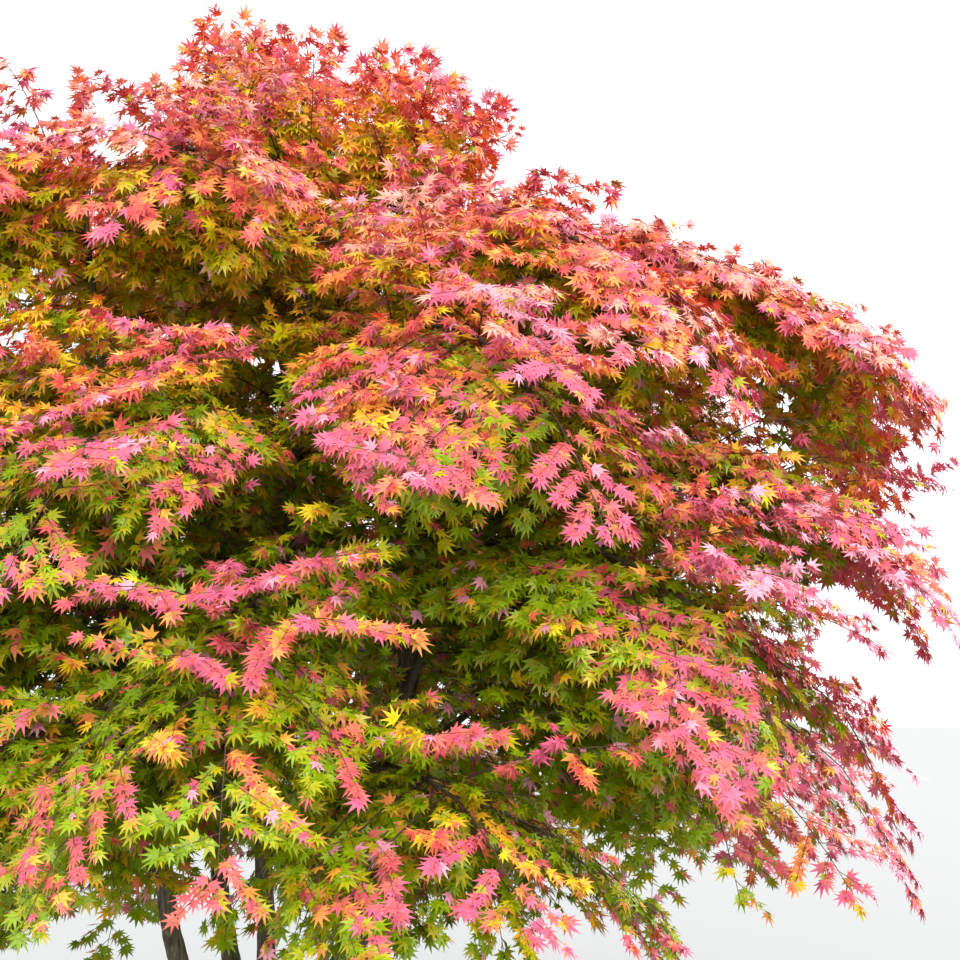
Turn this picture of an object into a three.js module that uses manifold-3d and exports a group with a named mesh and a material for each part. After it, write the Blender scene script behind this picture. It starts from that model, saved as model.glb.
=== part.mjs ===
// A Japanese maple in autumn leaf, about four metres high and wide.
// Five stems rise from a short flared trunk. Ascending boughs leave them in tiers, and each ends in
// a drooping fan of foliage. Two upright plumes make the top.
// Millimetres, +Z up, origin in the flat cut at ground level. Bearings are degrees from +X,
// counter-clockwise from above, so -90 is the front.
import * as THREE from 'three';
import { mergeVertices } from 'three/addons/utils/BufferGeometryUtils.js';
import Module from 'manifold-3d';

const wasm = await Module();
wasm.setup();

// The wood
const CLEAR = 0.3;              // gap where one piece of wood meets the next
const TRUNK_HEIGHT = 340;
const TRUNK_RADIUS = 118;       // at the waist, above the flare
const TRUNK_SIDES = 20;
const TRUNK_LEVELS = [0, 0.08, 0.2, 0.4, 0.7, 0.88, 1];   // shares of its height
const ROOT_FLARE = 62;          // how far the flare adds to the radius at the ground
const FLARE_FADE = 7;           // how fast the flare dies away up the trunk
const ROOT_RIDGES = 5;
const RIDGE_DEPTH = 0.45;       // share of the flare by which the ridges stand out
const SHOULDER = 0.7;           // share of the height where the trunk rounds over to its head
const HEAD_NARROWING = 0.42;
const STEM_RING = 66;           // how far from the axis the outer stems start, inside the trunk
const STEM_START = 190;         // height where every stem starts, inside the trunk
const STEM_RADIUS = 41;
const STEM_TIP_RADIUS = 13;
const STEM_TAPER = 0.8;         // power of the taper along a stem
const STEM_SIDES = 7;
const STEM_LENGTHS = 8;         // facets along a stem
const BOUGH_SHARE = 0.56;       // a bough's radius at its base, as a share of its stem's there
const BOUGH_TIP_RADIUS = 12;
const BOUGH_SIDES = 5;
const BOUGH_LENGTHS = 4;
const BOUGH_TAPER = 2;          // the least by which a bough narrows
const SHARE_ERROR = 1e-4;       // of a share found along a stem

// The stems: bearing, how far the top stands off the axis, its height, and the tilt from upright
// at the foot and at the top.
const STEMS = {
  leader:      { bearing: 20,   offset: 130,  top: 3250, footTilt: -6, topTilt: 3 },
  right_front: { bearing: -36,  offset: 740,  top: 3060, footTilt: 31, topTilt: 9 },
  right_back:  { bearing: 34,   offset: 780,  top: 3080, footTilt: 30, topTilt: 10 },
  left_back:   { bearing: 124,  offset: 700,  top: 3320, footTilt: 28, topTilt: 8 },
  left_front:  { bearing: -146, offset: 720,  top: 3280, footTilt: 29, topTilt: 9 },
};

// The tiers of fans: height of the fans, how much higher they hang on the left than on the right,
// bearing of the first fan, how far a bough rises to its fan, how far the tip of a fan's stem is
// below that height, its slope there, how many shoots hang, how far the leaves bend down from
// their twigs, and the reach of each fan going round
const TIERS = {
  middle: { height: 2580, leftLift: 70, first: -108, rise: 560, fall: 170, falling: -0.9, hanging: 3,
            hang: 24, reaches: [1640, 1900, 2240, 2050, 1850, 1780, 1820] },
  belt:   { height: 1930, leftLift: 40, first: -88, rise: 480, fall: 160, falling: -0.8, hanging: 3,
            hang: 22, reaches: [1800, 2050, 2130, 1950, 1830, 1720, 1720] },
  skirt:  { height: 1390, leftLift: -50, first: -62, rise: 350, fall: -20, falling: -0.3, hanging: 0,
            hang: 8, reaches: [1740, 1820, 1700, 1600, 1450, 1500] },
};
const STAGGER = 110;            // how far every other fan of a tier is raised, and the rest lowered
const HEIGHT_SCATTER = 40;
const ATTACH_SCATTER = 60;
const ROOT_SHARE = 0.41;        // where a fan starts, as a share of its reach
const FAN_ARCH = 70;            // how far a fan's root is above the height of its tier
const FAN_RISING = 0.42;        // slope of its stem at the root

// The fans at the stem tips, and those that the leader's boughs carry
const UPPER_SIDES = {
  right_front: { reach: 1900, fall: 240 },
  right_back:  { reach: 1850, fall: 240 },
  left_back:   { reach: 1560, fall: 60 },
  left_front:  { reach: 1560, fall: 40 },
};
const UPPER_FAN = { fall: 0, falling: -1.1, halfAngle: 36, hanging: 3, hang: 24, leafSize: 0.8 };
const LEADER_FANS = {
  front: { bearing: -108, reach: 1200, root: 330, height: 3290, attach: 2600, halfAngle: 42 },
  back:  { bearing: 82,   reach: 1200, root: 330, height: 3300, attach: 2640, halfAngle: 42 },
  right: { bearing: -2,   reach: 2400, root: 480, height: 3180, attach: 2480, halfAngle: 24,
           fall: 400 },
};

// The two plumes at the top, each with its tilt, length and half width
const PLUME_LEFT = { tiltBearing: 178, tilt: 25, length: 420, width: 520 };
const PLUME_RIGHT = { bearing: 8, offset: 400, rootHeight: 3200, attach: 2760, tiltBearing: -12,
                      tilt: 9, length: 330, width: 500 };
const PLUME_NARROWING = 0.3;    // from its root to its tip
const PLUME_PAIRS = 6;
const PLUME_TURN = 85;          // from one pair to the next round a plume's stem
const PLUME_LEAF_SIZE = 0.78;   // as a share of a fan's
const PLUME_HANG = 8;           // how far its leaves bend from their twigs
const FRONT = -80;              // bearing that they face

// The foliage. A leaf here stands for a spray, so it is far larger than life.
const SHOOTS_MOST = 40;         // a mass has fewer shoots than this
const PAIRS = 5;                // pairs of side shoots on a fan's stem
const RISING_SHOOTS = 5;        // short shoots on its upper side
const FORK_ANGLE = 54;          // between a side shoot and the stem
const SIDE_SLOPE = -0.22;       // how far a side shoot dips as it leaves
const SIDE_TILT = 0.45;         // and how far its leaf turns to face aside
const SHORT_LEAF_SIZE = 0.9;    // size of the leaves on short shoots
const FORK_SCATTER = 9;
const SHORT_TURN = 36;          // how far the short shoots turn to either side
const RISING_SLOPE = 0.8;
const RISING_LENGTH = 110;
const HANGING_SLOPE = -0.75;
const HANGING_LENGTH = 120;
const PAIR_START = 0.5;         // where the first pair is, in steps from one pair to the next
const RISING_START = 0.3;
const HANGING_START = 0.6;
const TWIG_SAG = 0.2;           // share of its length by which a twig's end hangs
const MASS_STEM_TIP = 5.5;      // radius of a mass's stem where its end leaf starts
const TWIG_SHARE = 0.42;        // a shoot's radius as a share of its stem's there
const NECK_SHARE = 0.8;         // and at its neck, where its leaf starts, as a share of that
const PAIR_OFFSET = 0.02;       // along the stem, between the two shoots of a pair
const LEAF_LENGTH = 440;
const LEAF_WIDTH = 470;
const LEAF_THICKNESS = 7;
const LEAF_DROOP = 0.15;        // how far the leaf's tip hangs, as a share of its length
const LEAF_SHARE = 0.8;         // of a leaf's length that a fan's stem and side shoots leave for it
const NARROWEST = 0.55;         // a fan's width at its root, as a share of its greatest
const WIDENING = 0.67;          // share of its stem over which it reaches that
const SHORTEST_TWIG = 60;
const SIZE_SCATTER = 0.1;
const STEM_STEPS = 5;           // facets along a mass's stem
const SPACE_MARGIN = 8;         // what a leaf keeps off the border of its mass's own space
const LIMB_MARGIN = 3;          // and off any limb
const CROSSING = 26;            // how far from its start a shoot may still meet another
const SEED = 11;
const HASH = [12.9898, 78.233, 43758.5453];

const BARK = new THREE.MeshStandardMaterial({ color: 0x4a4035, roughness: 0.85, metalness: 0 });
const LEAF_COLOURS = { plume: 0xe4604a, upper: 0xe8705c, middle: 0xe0576f, belt: 0xc98a4a,
                       skirt: 0xb5a038 };

const MERGE_DISTANCE = 1e-4;
const UP = new THREE.Vector3(0, 0, 1);
const radians = THREE.MathUtils.degToRad;

// Seeded number from 0 to 1, the same for the same pair of whole numbers
function chance(a, b) {
  const x = Math.sin(a * HASH[0] + b * HASH[1] + SEED) * HASH[2];
  return x - Math.floor(x);
}

function spread(a, b, size) {
  return (2 * chance(a, b) - 1) * size;
}

function outward(bearing) {
  return new THREE.Vector3(Math.cos(radians(bearing)), Math.sin(radians(bearing)), 0);
}

// Direction that is tilted from upright towards a bearing
function tilted(bearing, tilt) {
  return outward(bearing).multiplyScalar(Math.sin(radians(tilt)))
    .addScaledVector(UP, Math.cos(radians(tilt)));
}

function at(bearing, distance, height) {
  return outward(bearing).multiplyScalar(distance).setZ(height);
}

function solid(geometry) {
  const bare = geometry.index ? geometry.toNonIndexed() : geometry.clone();
  bare.deleteAttribute('normal');
  bare.deleteAttribute('uv');
  const merged = mergeVertices(bare, MERGE_DISTANCE);
  return new wasm.Manifold(new wasm.Mesh({
    numProp: 3,
    vertProperties: merged.attributes.position.array,
    triVerts: new Uint32Array(merged.index.array),
  }));
}

function largestPiece(manifold) {
  return manifold.decompose().reduce((a, b) => (b.volume() > a.volume() ? b : a));
}

function meshOf(name, manifold, material) {
  const { numProp, numVert, vertProperties, triVerts } = manifold.getMesh();
  const positions = new Float32Array(numVert * 3);
  for (let i = 0; i < numVert; i += 1) {
    positions.set(vertProperties.subarray(i * numProp, i * numProp + 3), i * 3);
  }
  const geometry = new THREE.BufferGeometry();
  geometry.setAttribute('position', new THREE.BufferAttribute(positions, 3));
  geometry.setIndex(new THREE.BufferAttribute(triVerts, 1));
  geometry.computeVertexNormals();
  const mesh = new THREE.Mesh(geometry, material);
  mesh.name = name;
  return mesh;
}

// Closed tapering limb: a cylinder whose rings are set along a curve
function limb(curve, radiusAt, sides, steps) {
  const geometry = new THREE.CylinderGeometry(1, 1, 1, sides, steps);
  const { normals, binormals } = curve.computeFrenetFrames(steps, false);
  const position = geometry.attributes.position;
  for (let i = 0; i < position.count; i += 1) {
    const level = Math.round((position.getY(i) + 0.5) * steps);
    const along = level / steps;
    const radius = radiusAt(along);
    const point = curve.getPointAt(along)
      .addScaledVector(binormals[level], position.getX(i) * radius)
      .addScaledVector(normals[level], position.getZ(i) * radius);
    position.setXYZ(i, point.x, point.y, point.z);
  }
  const made = solid(geometry);
  if (made.volume() < 0) {
    throw new Error('a limb is inside out');
  }
  return made;
}

function bezier(start, leaving, arriving, end) {
  const pull = start.distanceTo(end) / 3;
  return new THREE.CubicBezierCurve3(start, start.clone().addScaledVector(leaving, pull),
    end.clone().addScaledVector(arriving, -pull), end);
}

// The trunk: a short bole with ridged root flare and a rounded head that the stems leave
function trunkSolid(extra) {
  const count = TRUNK_LEVELS.length - 1;
  const geometry = new THREE.CylinderGeometry(1, 1, 1, TRUNK_SIDES, count);
  geometry.rotateX(Math.PI / 2);
  const position = geometry.attributes.position;
  for (let i = 0; i < position.count; i += 1) {
    const height = TRUNK_LEVELS[Math.round((position.getZ(i) + 0.5) * count)];
    const angle = Math.atan2(position.getY(i), position.getX(i));
    const flare = ROOT_FLARE * Math.exp(-height * FLARE_FADE)
      * (1 + RIDGE_DEPTH * Math.cos(ROOT_RIDGES * angle));
    const over = Math.max(0, (height - SHOULDER) / (1 - SHOULDER));
    const waist = TRUNK_RADIUS * (1 - HEAD_NARROWING * over ** 2);
    const radius = Math.hypot(position.getX(i), position.getY(i)) * (waist + flare + extra);
    position.setXYZ(i, radius * Math.cos(angle), radius * Math.sin(angle),
      height * TRUNK_HEIGHT + (height === 1 ? extra : 0));
  }
  return solid(geometry);
}

// Each stem, with its curve and its radius along it
const stems = {};
for (const [name, size] of Object.entries(STEMS)) {
  const ring = name === 'leader' ? 0 : STEM_RING;
  const curve = bezier(at(size.bearing, ring, STEM_START), tilted(size.bearing, size.footTilt),
    tilted(size.bearing, size.topTilt), at(size.bearing, size.offset, size.top));
  const radiusAt = (along) => STEM_RADIUS + (STEM_TIP_RADIUS - STEM_RADIUS) * along ** STEM_TAPER;
  stems[name] = { curve, radiusAt };
}

// Share of a stem's length at which it reaches a height
function shareAtHeight(curve, height) {
  let low = 0;
  let high = 1;
  while (high - low > SHARE_ERROR) {
    const middle = (low + high) / 2;
    if (curve.getPointAt(middle).z < height) {
      low = middle;
    } else {
      high = middle;
    }
  }
  return low;
}

function nearestStem(bearing) {
  const apart = (name) => Math.acos(Math.cos(radians(STEMS[name].bearing - bearing)));
  return Object.keys(STEMS).filter((name) => name !== 'leader')
    .reduce((a, b) => (apart(b) < apart(a) ? b : a));
}

// A bough leaves its stem at a height and arrives at the root of its mass
function boughTo(stemName, height, root, arriving) {
  const stem = stems[stemName];
  const share = shareAtHeight(stem.curve, height);
  const start = stem.curve.getPointAt(share);
  const flat = root.clone().sub(start).setZ(0).normalize();
  const leaving = stem.curve.getTangentAt(share).add(flat).normalize();
  const thick = Math.max(stem.radiusAt(share) * BOUGH_SHARE, BOUGH_TIP_RADIUS + BOUGH_TAPER);
  return {
    stemName,
    curve: bezier(start, leaving, arriving, root),
    radiusAt: (along) => thick + (BOUGH_TIP_RADIUS - thick) * along,
  };
}

const boughs = {};
const masses = {};

// A fan spreads outward from its root, arches over and falls to its tip.
function addFan(name, tier, bearing, root, leaving, size) {
  const tip = at(bearing, size.reach - LEAF_SHARE * LEAF_LENGTH, root.z - size.fall);
  const start = root.clone().addScaledVector(leaving, CLEAR);
  const arriving = outward(bearing).addScaledVector(UP, size.falling).normalize();
  const span = tip.clone().setZ(0).length() * Math.tan(radians(size.halfAngle));
  masses[name] = {
    tier,
    curve: bezier(start, leaving, arriving, tip),
    width: (along) => span * Math.min(1, NARROWEST + (1 - NARROWEST) * along / WIDENING),
    face: UP,
    upright: false,
    pairs: PAIRS,
    hanging: size.hanging,
    leafSize: size.leafSize,
    hang: size.hang,
  };
}

// A plume stands nearly upright, with its shoots all round.
function addPlume(name, root, leaving, size) {
  const heading = tilted(size.tiltBearing, size.tilt);
  const start = root.clone().addScaledVector(leaving, CLEAR);
  const tip = start.clone().addScaledVector(heading, size.length);
  masses[name] = {
    tier: 'plume',
    curve: bezier(start, leaving, UP, tip),
    width: (along) => size.width * (1 - PLUME_NARROWING * along),
    face: outward(FRONT),
    upright: true,
    pairs: PLUME_PAIRS,
    hanging: 0,
    leafSize: PLUME_LEAF_SIZE,
    hang: PLUME_HANG,
  };
}

for (const [tier, size] of Object.entries(TIERS)) {
  const count = size.reaches.length;
  size.reaches.forEach((reach, i) => {
    const bearing = size.first + (i * 360) / count;
    const height = size.height - size.leftLift * Math.cos(radians(bearing))
      + STAGGER * (i % 2 ? 1 : -1) + spread(i, tier.length, HEIGHT_SCATTER);
    const root = at(bearing, reach * ROOT_SHARE, height + FAN_ARCH);
    const leaving = outward(bearing).addScaledVector(UP, FAN_RISING).normalize();
    const name = `${tier}_${i + 1}`;
    addFan(name, tier, bearing, root, leaving, {
      ...size, reach, fall: size.fall + FAN_ARCH, halfAngle: 180 / count, leafSize: 1,
    });
    const attach = root.z - size.rise + spread(i, 5, ATTACH_SCATTER);
    boughs[name] = boughTo(nearestStem(bearing), attach, root, leaving);
  });
}

for (const [name, size] of Object.entries(UPPER_SIDES)) {
  const { curve } = stems[name];
  const { bearing } = STEMS[name];
  addFan(`upper_${name}`, 'upper', bearing, curve.getPointAt(1), curve.getTangentAt(1),
    { ...UPPER_FAN, ...size });
}

for (const [side, size] of Object.entries(LEADER_FANS)) {
  const root = at(size.bearing, size.root, size.height);
  const leaving = outward(size.bearing).addScaledVector(UP, FAN_RISING).normalize();
  const name = `upper_${side}`;
  addFan(name, 'upper', size.bearing, root, leaving, { ...UPPER_FAN, ...size });
  boughs[name] = boughTo('leader', size.attach, root, leaving);
}

addPlume('plume_left', stems.leader.curve.getPointAt(1), stems.leader.curve.getTangentAt(1),
  PLUME_LEFT);
{
  const root = at(PLUME_RIGHT.bearing, PLUME_RIGHT.offset, PLUME_RIGHT.rootHeight);
  const leaving = tilted(PLUME_RIGHT.tiltBearing, PLUME_RIGHT.tilt);
  addPlume('plume_right', root, leaving, PLUME_RIGHT);
  boughs.plume_right = boughTo('leader', PLUME_RIGHT.attach, root, leaving);
}

// The limbs as solids, each cut clear of the one that bears it
const limbs = { trunk: trunkSolid(0) };
const trunkCutter = trunkSolid(CLEAR);
for (const [name, { curve, radiusAt }] of Object.entries(stems)) {
  limbs[`stem_${name}`] = largestPiece(limb(curve, radiusAt, STEM_SIDES, STEM_LENGTHS)
    .subtract(trunkCutter));
}
for (const [name, { stemName, curve, radiusAt }] of Object.entries(boughs)) {
  const stem = stems[stemName];
  const cutter = limb(stem.curve, (along) => stem.radiusAt(along) + CLEAR, STEM_SIDES, STEM_LENGTHS);
  limbs[`bough_${name}`] = largestPiece(limb(curve, radiusAt, BOUGH_SIDES, BOUGH_LENGTHS)
    .subtract(cutter));
}

// What no leaf or twig may touch: every limb, a little thicker
const guards = [trunkSolid(LIMB_MARGIN)];
for (const { curve, radiusAt } of [...Object.values(stems), ...Object.values(boughs)]) {
  guards.push(limb(curve, (along) => radiusAt(along) + LIMB_MARGIN, STEM_SIDES, STEM_LENGTHS));
}

function boxesMeet(a, b) {
  return [0, 1, 2].every((i) => a.min[i] <= b.max[i] && b.min[i] <= a.max[i]);
}

// A mass's own space is what lies nearer to its stem than to any other mass's.
for (const mass of Object.values(masses)) {
  mass.samples = mass.curve.getSpacedPoints(2 * STEM_STEPS);
  mass.guard = limb(mass.curve, () => BOUGH_TIP_RADIUS + LIMB_MARGIN, BOUGH_SIDES, STEM_STEPS);
}

function distanceTo(mass, point) {
  return Math.min(...mass.samples.map((sample) => sample.distanceTo(point)));
}

function inSpace(mass, points) {
  return points.every((point) => {
    const own = distanceTo(mass, point) + SPACE_MARGIN;
    return Object.values(masses).every((other) => other === mass || distanceTo(other, point) > own);
  });
}

function verticesOf(manifold) {
  const { numProp, numVert, vertProperties } = manifold.getMesh();
  return Array.from({ length: numVert }, (_, i) => new THREE.Vector3(
    vertProperties[i * numProp], vertProperties[i * numProp + 1], vertProperties[i * numProp + 2]));
}

// Outline of a leaf with three lobes, from the right of its neck round to the left, in shares of
// its length and width. The neck is at the origin and the leaf runs along +X.
const LEAF_OUTLINE = [[0.33, -0.5], [0.5, -0.23], [1, 0], [0.5, 0.23], [0.33, 0.5]];
const LEAF_CROWN = 0.4;         // where it is thickest

// Three-sided twig along a curve that ends in a leaf, as one closed mesh. The leaf bends down from
// the twig's end by the hang.
function shoot(curve, face, startRadius, neckRadius, steps, size, hang) {
  const corners = [];
  const faces = [];
  let heading;
  let side;
  let normal;
  for (let i = 0; i <= steps; i += 1) {
    const along = i / steps;
    const radius = startRadius + (neckRadius - startRadius) * along;
    const point = curve.getPointAt(along);
    heading = curve.getTangentAt(along);
    side = new THREE.Vector3().crossVectors(face, heading).normalize();
    normal = new THREE.Vector3().crossVectors(heading, side);
    corners.push(point.clone().addScaledVector(side, radius),
      point.clone().addScaledVector(side, -radius), point.clone().addScaledVector(normal, -radius));
    for (let j = 0; i > 0 && j < 3; j += 1) {
      const [a, b] = [3 * i - 3 + j, 3 * i - 3 + ((j + 1) % 3)];
      faces.push(a, b, b + 3, a, b + 3, a + 3);
    }
  }
  faces.push(0, 2, 1);
  const [left, right, below] = [3 * steps, 3 * steps + 1, 3 * steps + 2];
  const neck = curve.getPointAt(1);
  heading.applyAxisAngle(side, radians(hang));
  normal.applyAxisAngle(side, radians(hang));
  const place = (x, y, lift) => neck.clone().addScaledVector(heading, x * LEAF_LENGTH * size)
    .addScaledVector(side, y * LEAF_WIDTH * size)
    .addScaledVector(normal, lift - LEAF_DROOP * LEAF_LENGTH * size * (x * x + y * y));
  const rim = LEAF_OUTLINE.map(([x, y]) => place(x, y, 0));
  const loop = [right, ...rim.map((point) => corners.push(point) - 1), left];
  const crown = corners.push(place(LEAF_CROWN, 0, LEAF_THICKNESS)) - 1;
  loop.slice(1).forEach((next, i) => faces.push(crown, loop[i], next, below, next, loop[i]));
  faces.push(crown, left, right);
  const geometry = new THREE.BufferGeometry();
  geometry.setAttribute('position', new THREE.Float32BufferAttribute(
    corners.flatMap((p) => p.toArray()), 3));
  geometry.setIndex(faces);
  return { made: solid(geometry), middle: corners[crown], tip: rim[2] };
}

// The shoots of a mass: where each starts, its radius there, its heading, the way its leaf faces,
// the length of its twig and the size of its leaf
function shootsOf(mass, number) {
  const found = [];
  const corners = mass.curve.getSpacedPoints(STEM_STEPS);
  const frameAt = (along) => {
    const step = Math.floor(along * STEM_STEPS);
    const heading = mass.curve.getTangentAt(along);
    const face = mass.face.clone().addScaledVector(heading, -mass.face.dot(heading)).normalize();
    const point = corners[step].clone().lerp(corners[step + 1], along * STEM_STEPS - step);
    const radius = BOUGH_TIP_RADIUS + (MASS_STEM_TIP - BOUGH_TIP_RADIUS) * along;
    return { point: point.addScaledVector(face, -radius / 3), heading, face, radius };
  };
  const add = (key, { point, radius }, leaving, face, length, size) => found.push({
    point,
    radius: radius * TWIG_SHARE,
    leaving: leaving.normalize(),
    face,
    length: length * (1 + spread(key, 3, SIZE_SCATTER)),
    size: size * (1 + spread(key, 4, SIZE_SCATTER)),
  });

  const { pairs, hanging, leafSize } = mass;
  for (let i = 0; i < 2 * pairs; i += 1) {
    const key = number * SHOOTS_MOST + i;
    const pair = Math.floor(i / 2);
    const along = (pair + PAIR_START) / pairs + PAIR_OFFSET * (i % 2);
    const frame = frameAt(along);
    const { heading, face } = frame;
    const aside = new THREE.Vector3().crossVectors(face, heading).multiplyScalar(i % 2 ? 1 : -1);
    if (mass.upright) {
      aside.applyAxisAngle(heading, radians(PLUME_TURN * (pair + 0.5)));
    }
    const fork = radians(FORK_ANGLE + spread(key, 1, FORK_SCATTER));
    const leaving = heading.clone().multiplyScalar(Math.cos(fork))
      .addScaledVector(aside, Math.sin(fork)).addScaledVector(face, SIDE_SLOPE);
    const facing = face.clone().addScaledVector(aside, SIDE_TILT);
    const length = mass.width(along) - LEAF_SHARE * LEAF_LENGTH * leafSize;
    add(key, frame, leaving, facing, length, leafSize);
  }
  for (let i = 0; i < RISING_SHOOTS; i += 1) {
    const key = number * SHOOTS_MOST + 2 * pairs + i;
    const frame = frameAt((i + RISING_START) / RISING_SHOOTS);
    const { heading, face } = frame;
    const turn = SHORT_TURN * (i % 2 ? 1 : -1) + spread(key, 1, FORK_SCATTER);
    const leaving = heading.clone().applyAxisAngle(face, radians(turn))
      .addScaledVector(face, RISING_SLOPE);
    add(key, frame, leaving, face, RISING_LENGTH, SHORT_LEAF_SIZE * leafSize);
  }
  for (let i = 0; i < hanging; i += 1) {
    const key = number * SHOOTS_MOST + 2 * pairs + RISING_SHOOTS + i;
    const frame = frameAt((i + HANGING_START) / hanging);
    const { heading, face } = frame;
    const leaving = heading.clone().applyAxisAngle(face, radians((i - 1) * SHORT_TURN))
      .addScaledVector(face, HANGING_SLOPE);
    const facing = face.clone().addScaledVector(heading, -HANGING_SLOPE);
    add(key, frame, leaving, facing, HANGING_LENGTH, SHORT_LEAF_SIZE * leafSize);
  }
  return found;
}

function touches(piece, others) {
  const box = piece.boundingBox();
  return others.some((other) => boxesMeet(box, other.boundingBox())
    && !other.intersect(piece).isEmpty());
}

function meetsOnlyNear(piece, other, point) {
  if (!boxesMeet(piece.boundingBox(), other.boundingBox())) {
    return true;
  }
  const common = piece.intersect(other);
  return common.isEmpty()
    || verticesOf(common).every((vertex) => vertex.distanceTo(point) < CROSSING);
}

// What a shoot tries in turn until it is free: a lift of its heading and a share of its length
const ATTEMPTS = [[0, 1], [0.25, 1], [-0.25, 1], [0.4, 0.7], [0, 0.6], [-0.4, 0.5], [0.6, 0.3]];
const STEM_LEAF_SIZES = [1, 0.85, 0.7, 0.55, 0.4];
const SHORT_SHARE = 0.5;        // size that a leaf tends to as its twig shortens

// Fan or plume: a stem that ends in a leaf, with the shoots that find room, all fused. It keeps
// clear of the masses made before it.
function foliage(mass, number, before) {
  const otherStems = Object.values(masses).filter((other) => other !== mass)
    .map((other) => other.guard);
  const isFree = ({ made, middle, tip }) => inSpace(mass, [middle, tip]) && !touches(made, before)
    && !touches(made, otherStems);
  const stem = STEM_LEAF_SIZES.map((size) => shoot(mass.curve, mass.face, BOUGH_TIP_RADIUS,
    MASS_STEM_TIP, STEM_STEPS, size, 0)).find(isFree);
  if (!stem) {
    throw new Error(`mass ${number} has no room for its stem`);
  }
  const placed = [stem.made];
  for (const { point, radius, leaving, face, length, size } of shootsOf(mass, number)) {
    for (const [lift, share] of ATTEMPTS) {
      const heading = leaving.clone().addScaledVector(face, lift).normalize();
      const reach = Math.max(SHORTEST_TWIG, length * share);
      const end = point.clone().addScaledVector(heading, reach).addScaledVector(UP, -TWIG_SAG * reach);
      const middle = point.clone().addScaledVector(heading, reach / 2);
      const curve = new THREE.QuadraticBezierCurve3(point, middle, end);
      const shrunk = size * (SHORT_SHARE + (1 - SHORT_SHARE) * share);
      const tried = shoot(curve, face, radius, radius * NECK_SHARE, 1, shrunk, mass.hang);
      if (isFree(tried) && !touches(tried.made, guards)
        && placed.every((other) => meetsOnlyNear(tried.made, other, point))) {
        placed.push(tried.made);
        break;
      }
    }
  }
  return largestPiece(wasm.Manifold.union(placed));
}

const tree = new THREE.Group();
for (const [name, made] of Object.entries(limbs)) {
  tree.add(meshOf(name, made, BARK));
}
const materials = {};
for (const [tier, color] of Object.entries(LEAF_COLOURS)) {
  materials[tier] = new THREE.MeshStandardMaterial({ color, roughness: 0.6, metalness: 0 });
}
const finished = [];
Object.entries(masses).reverse().forEach(([name, mass], number) => {
  finished.push(foliage(mass, number, finished));
  tree.add(meshOf(`foliage_${name}`, finished.at(-1), materials[mass.tier]));
});

export default tree;
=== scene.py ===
import math

import bpy
import numpy as np
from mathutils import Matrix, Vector, kdtree, noise


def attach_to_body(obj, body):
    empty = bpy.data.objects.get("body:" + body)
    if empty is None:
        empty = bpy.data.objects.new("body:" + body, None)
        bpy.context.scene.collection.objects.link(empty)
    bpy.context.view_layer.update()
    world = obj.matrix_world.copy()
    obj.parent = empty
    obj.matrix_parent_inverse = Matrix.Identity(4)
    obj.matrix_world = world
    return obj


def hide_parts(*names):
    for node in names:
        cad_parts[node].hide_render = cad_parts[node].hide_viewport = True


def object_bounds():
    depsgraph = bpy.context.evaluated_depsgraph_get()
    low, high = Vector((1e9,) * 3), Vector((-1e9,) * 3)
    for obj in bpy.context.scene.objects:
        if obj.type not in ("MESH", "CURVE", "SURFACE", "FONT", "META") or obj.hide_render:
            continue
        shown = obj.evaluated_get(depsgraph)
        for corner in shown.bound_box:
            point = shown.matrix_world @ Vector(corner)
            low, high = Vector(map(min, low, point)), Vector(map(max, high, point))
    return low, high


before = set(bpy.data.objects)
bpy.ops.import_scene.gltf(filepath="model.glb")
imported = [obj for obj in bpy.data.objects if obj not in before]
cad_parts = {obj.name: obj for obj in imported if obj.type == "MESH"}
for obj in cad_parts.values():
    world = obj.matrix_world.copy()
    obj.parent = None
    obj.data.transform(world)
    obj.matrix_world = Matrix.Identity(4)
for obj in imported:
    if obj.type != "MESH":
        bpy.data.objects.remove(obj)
cad_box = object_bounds()

# Trunk and stems
# The bole of a maple with five stems: short, with a ridged root flare, dividing low down. The wood
# is grown in one piece, so trunk and stems are skinned as one body, and the crotches are rounded.
# It stands on a flat cut at ground level. Lengths are metres, bearings degrees from +X.
UP = np.array([0.0, 0.0, 1.0])
SEED = 11
HASH = (12.9898, 78.233, 43758.5453)
CURVE_STEPS = 200
TRUNK_HEIGHT = 0.340
TRUNK_RADIUS = 0.118
TRUNK_SIDES = 96
TRUNK_LEVELS = 40
ROOT_FLARE = 0.062
FLARE_FADE = 7
TOE = 0.035  # share of the height below which the flare stands upright
ROOT_RIDGES = 5
RIDGE_DEPTH = 0.45
RIDGE_SCATTER = 0.5  # how unlike each other the ridges are
SHOULDER = 0.7
HEAD_NARROWING = 0.42
STEM_RING = 0.066
STEM_START = 0.190
STEM_RADIUS = 0.041
STEM_TIP_RADIUS = 0.013
STEM_TAPER = 0.8
STEM_SIDES = 16
STEM_RINGS = 130
STEM_SWELLING = 0.3  # share of its radius by which a stem widens at its foot
SWELLING_REACH = 0.12
WAVER = 1.30  # how far a stem strays from its line, as a share of its radius
WAVER_STEP = 0.45  # length over which it strays once to either side
STEMS = {
    "leader": dict(bearing=20, ring=0, offset=0.130, top=3.250, foot_tilt=-6, top_tilt=3),
    "right_front": dict(bearing=-36, ring=STEM_RING, offset=0.740, top=3.060, foot_tilt=31, top_tilt=9),
    "right_back": dict(bearing=34, ring=STEM_RING, offset=0.780, top=3.080, foot_tilt=30, top_tilt=10),
    "left_back": dict(bearing=124, ring=STEM_RING, offset=0.700, top=3.320, foot_tilt=28, top_tilt=8),
    "left_front": dict(bearing=-146, ring=STEM_RING, offset=0.720, top=3.280, foot_tilt=29, top_tilt=9),
}
JOIN_VOXEL = 0.0072
JOIN_SMOOTHING = 4
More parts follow.
